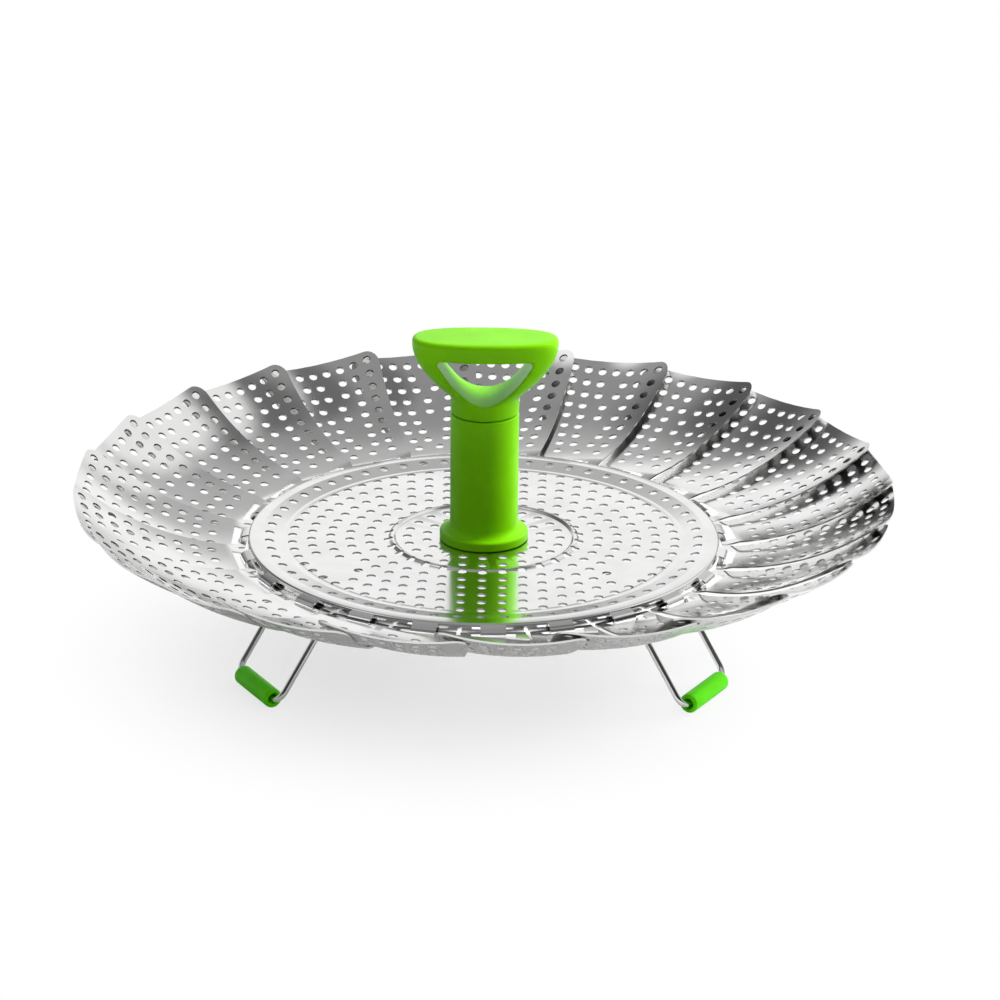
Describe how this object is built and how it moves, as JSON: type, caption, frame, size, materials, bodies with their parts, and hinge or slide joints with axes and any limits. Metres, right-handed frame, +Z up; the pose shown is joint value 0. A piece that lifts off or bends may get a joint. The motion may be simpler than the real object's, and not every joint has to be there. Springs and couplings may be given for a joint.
{
  "type": "folding steamer basket",
  "caption": "Folding steamer basket: perforated floor, ring of overlapping hinged petals, sliding post grip and folding wire legs.",
  "frame": {"origin": "on the ground, under the middle of the base plate", "axes": "+Z up along the post, +X to the right and +Y to the back as the picture shows it"},
  "size_m": [0.2541, 0.2542, 0.1036],
  "materials": {
    "steel": "polished stainless sheet",
    "wire": "bright drawn wire",
    "green_plastic": "satin moulded plastic",
    "green_silicone": "smooth silicone sleeve",
    "brass": "plain"
  },
  "bodies": {
    "basket": {"base_plate": "steel", "post_tube": "green_plastic", "post_collar": "green_plastic", "thread_insert": "brass", "fixing_screw": "steel", "screw_washer": "steel", "leg_bracket_1": "steel", "leg_bracket_2": "steel", "leg_bracket_3": "steel"},
    "grip": {"grip": "green_plastic", "snap_ring": "steel"},
    "leg_1": {"leg_1": "wire", "foot_1": "green_silicone"},
    "leg_2": {"leg_2": "wire", "foot_2": "green_silicone"},
    "leg_3": {"leg_3": "wire", "foot_3": "green_silicone"},
    "petal_01": {"petal_01": "steel"},
    "petal_02": {"petal_02": "steel"},
    "petal_03": {"petal_03": "steel"},
    "petal_04": {"petal_04": "steel"},
    "petal_05": {"petal_05": "steel"},
    "petal_06": {"petal_06": "steel"},
    "petal_07": {"petal_07": "steel"},
    "petal_08": {"petal_08": "steel"},
    "petal_09": {"petal_09": "steel"},
    "petal_10": {"petal_10": "steel"},
    "petal_11": {"petal_11": "steel"},
    "petal_12": {"petal_12": "steel"},
    "petal_13": {"petal_13": "steel"},
    "petal_14": {"petal_14": "steel"},
    "petal_15": {"petal_15": "steel"},
    "petal_16": {"petal_16": "steel"},
    "petal_17": {"petal_17": "steel"},
    "petal_18": {"petal_18": "steel"},
    "petal_19": {"petal_19": "steel"},
    "petal_20": {"petal_20": "steel"},
    "petal_21": {"petal_21": "steel"},
    "petal_22": {"petal_22": "steel"},
    "petal_23": {"petal_23": "steel"}
  },
  "joints": [
    {"name": "grip_slide", "type": "slide", "parent": "basket", "child": "grip", "axis": [0, 0, 1], "range_m": [0, 0.0275]},
    {"name": "leg_1_fold", "type": "hinge", "parent": "basket", "child": "leg_1", "pos_m": [0, 0.0574, 0.03472], "axis": [-1, 0, 0], "range_deg": [0, 120]},
    {"name": "leg_2_fold", "type": "hinge", "parent": "basket", "child": "leg_2", "pos_m": [-0.04971, -0.0287, 0.03472], "axis": [0.5, -0.866, 0], "range_deg": [0, 120]},
    {"name": "leg_3_fold", "type": "hinge", "parent": "basket", "child": "leg_3", "pos_m": [0.04971, -0.0287, 0.03472], "axis": [0.5, 0.866, 0], "range_deg": [0, 120]},
    {"name": "petal_01_fold", "type": "hinge", "parent": "basket", "child": "petal_01", "pos_m": [0.07431, 0.00886, 0.03623], "axis": [0.1184, -0.993, 0], "range_deg": [0, 75]},
    {"name": "petal_02_fold", "type": "hinge", "parent": "basket", "child": "petal_02", "pos_m": [0.07394, -0.01152, 0.03623], "axis": [-0.1539, -0.9881, 0], "range_deg": [0, 75]},
    {"name": "petal_03_fold", "type": "hinge", "parent": "basket", "child": "petal_03", "pos_m": [0.06809, -0.03104, 0.03623], "axis": [-0.4148, -0.9099, 0], "range_deg": [0, 75]},
    {"name": "petal_04_fold", "type": "hinge", "parent": "basket", "child": "petal_04", "pos_m": [0.0572, -0.04826, 0.03623], "axis": [-0.6449, -0.7643, 0], "range_deg": [0, 75]},
    {"name": "petal_05_fold", "type": "hinge", "parent": "basket", "child": "petal_05", "pos_m": [0.04205, -0.0619, 0.03623], "axis": [-0.8272, -0.562, 0], "range_deg": [0, 75]},
    {"name": "petal_06_fold", "type": "hinge", "parent": "basket", "child": "petal_06", "pos_m": [0.02379, -0.07095, 0.03623], "axis": [-0.9481, -0.318, 0], "range_deg": [0, 75]},
    {"name": "petal_07_fold", "type": "hinge", "parent": "basket", "child": "petal_07", "pos_m": [0.00377, -0.07474, 0.03623], "axis": [-0.9987, -0.0504, 0], "range_deg": [0, 75]},
    {"name": "petal_08_fold", "type": "hinge", "parent": "basket", "child": "petal_08", "pos_m": [-0.01654, -0.07298, 0.03623], "axis": [-0.9753, 0.221, 0], "range_deg": [0, 75]},
    {"name": "petal_09_fold", "type": "hinge", "parent": "basket", "child": "petal_09", "pos_m": [-0.03561, -0.06582, 0.03623], "axis": [-0.8795, 0.4759, 0], "range_deg": [0, 75]},
    {"name": "petal_10_fold", "type": "hinge", "parent": "basket", "child": "petal_10", "pos_m": [-0.05205, -0.05377, 0.03623], "axis": [-0.7185, 0.6955, 0], "range_deg": [0, 75]},
    {"name": "petal_11_fold", "type": "hinge", "parent": "basket", "child": "petal_11", "pos_m": [-0.06463, -0.03773, 0.03623], "axis": [-0.5042, 0.8636, 0], "range_deg": [0, 75]},
    {"name": "petal_12_fold", "type": "hinge", "parent": "basket", "child": "petal_12", "pos_m": [-0.07241, -0.0189, 0.03623], "axis": [-0.2525, 0.9676, 0], "range_deg": [0, 75]},
    {"name": "petal_13_fold", "type": "hinge", "parent": "basket", "child": "petal_13", "pos_m": [-0.07482, 0.00134, 0.03623], "axis": [0.0179, 0.9998, 0], "range_deg": [0, 75]},
    {"name": "petal_14_fold", "type": "hinge", "parent": "basket", "child": "petal_14", "pos_m": [-0.07169, 0.02148, 0.03623], "axis": [0.287, 0.9579, 0], "range_deg": [0, 75]},
    {"name": "petal_15_fold", "type": "hinge", "parent": "basket", "child": "petal_15", "pos_m": [-0.06323, 0.04002, 0.03623], "axis": [0.5348, 0.845, 0], "range_deg": [0, 75]},
    {"name": "petal_16_fold", "type": "hinge", "parent": "basket", "child": "petal_16", "pos_m": [-0.05009, 0.0556, 0.03623], "axis": [0.7429, 0.6694, 0], "range_deg": [0, 75]},
    {"name": "petal_17_fold", "type": "hinge", "parent": "basket", "child": "petal_17", "pos_m": [-0.03323, 0.06705, 0.03623], "axis": [0.896, 0.4441, 0], "range_deg": [0, 75]},
    {"name": "petal_18_fold", "type": "hinge", "parent": "basket", "child": "petal_18", "pos_m": [-0.01391, 0.07353, 0.03623], "axis": [0.9826, 0.1859, 0], "range_deg": [0, 75]},
    {"name": "petal_19_fold", "type": "hinge", "parent": "basket", "child": "petal_19", "pos_m": [0.00644, 0.07456, 0.03623], "axis": [0.9963, -0.0861, 0], "range_deg": [0, 75]},
    {"name": "petal_20_fold", "type": "hinge", "parent": "basket", "child": "petal_20", "pos_m": [0.02632, 0.07005, 0.03623], "axis": [0.9361, -0.3517, 0], "range_deg": [0, 75]},
    {"name": "petal_21_fold", "type": "hinge", "parent": "basket", "child": "petal_21", "pos_m": [0.04424, 0.06035, 0.03623], "axis": [0.8065, -0.5912, 0], "range_deg": [0, 75]},
    {"name": "petal_22_fold", "type": "hinge", "parent": "basket", "child": "petal_22", "pos_m": [0.05889, 0.04618, 0.03623], "axis": [0.6171, -0.7869, 0], "range_deg": [0, 75]},
    {"name": "petal_23_fold", "type": "hinge", "parent": "basket", "child": "petal_23", "pos_m": [0.06916, 0.02858, 0.03623], "axis": [0.3819, -0.9242, 0], "range_deg": [0, 75]}
  ],
  "couplings": [
    {"joint": "petal_02_fold", "follows": "petal_01_fold", "ratio": 1},
    {"joint": "petal_03_fold", "follows": "petal_01_fold", "ratio": 1},
    {"joint": "petal_04_fold", "follows": "petal_01_fold", "ratio": 1},
    {"joint": "petal_05_fold", "follows": "petal_01_fold", "ratio": 1},
    {"joint": "petal_06_fold", "follows": "petal_01_fold", "ratio": 1},
    {"joint": "petal_07_fold", "follows": "petal_01_fold", "ratio": 1},
    {"joint": "petal_08_fold", "follows": "petal_01_fold", "ratio": 1},
    {"joint": "petal_09_fold", "follows": "petal_01_fold", "ratio": 1},
    {"joint": "petal_10_fold", "follows": "petal_01_fold", "ratio": 1},
    {"joint": "petal_11_fold", "follows": "petal_01_fold", "ratio": 1},
    {"joint": "petal_12_fold", "follows": "petal_01_fold", "ratio": 1},
    {"joint": "petal_13_fold", "follows": "petal_01_fold", "ratio": 1},
    {"joint": "petal_14_fold", "follows": "petal_01_fold", "ratio": 1},
    {"joint": "petal_15_fold", "follows": "petal_01_fold", "ratio": 1},
    {"joint": "petal_16_fold", "follows": "petal_01_fold", "ratio": 1},
    {"joint": "petal_17_fold", "follows": "petal_01_fold", "ratio": 1},
    {"joint": "petal_18_fold", "follows": "petal_01_fold", "ratio": 1},
    {"joint": "petal_19_fold", "follows": "petal_01_fold", "ratio": 1},
    {"joint": "petal_20_fold", "follows": "petal_01_fold", "ratio": 1},
    {"joint": "petal_21_fold", "follows": "petal_01_fold", "ratio": 1},
    {"joint": "petal_22_fold", "follows": "petal_01_fold", "ratio": 1},
    {"joint": "petal_23_fold", "follows": "petal_01_fold", "ratio": 1}
  ]
}
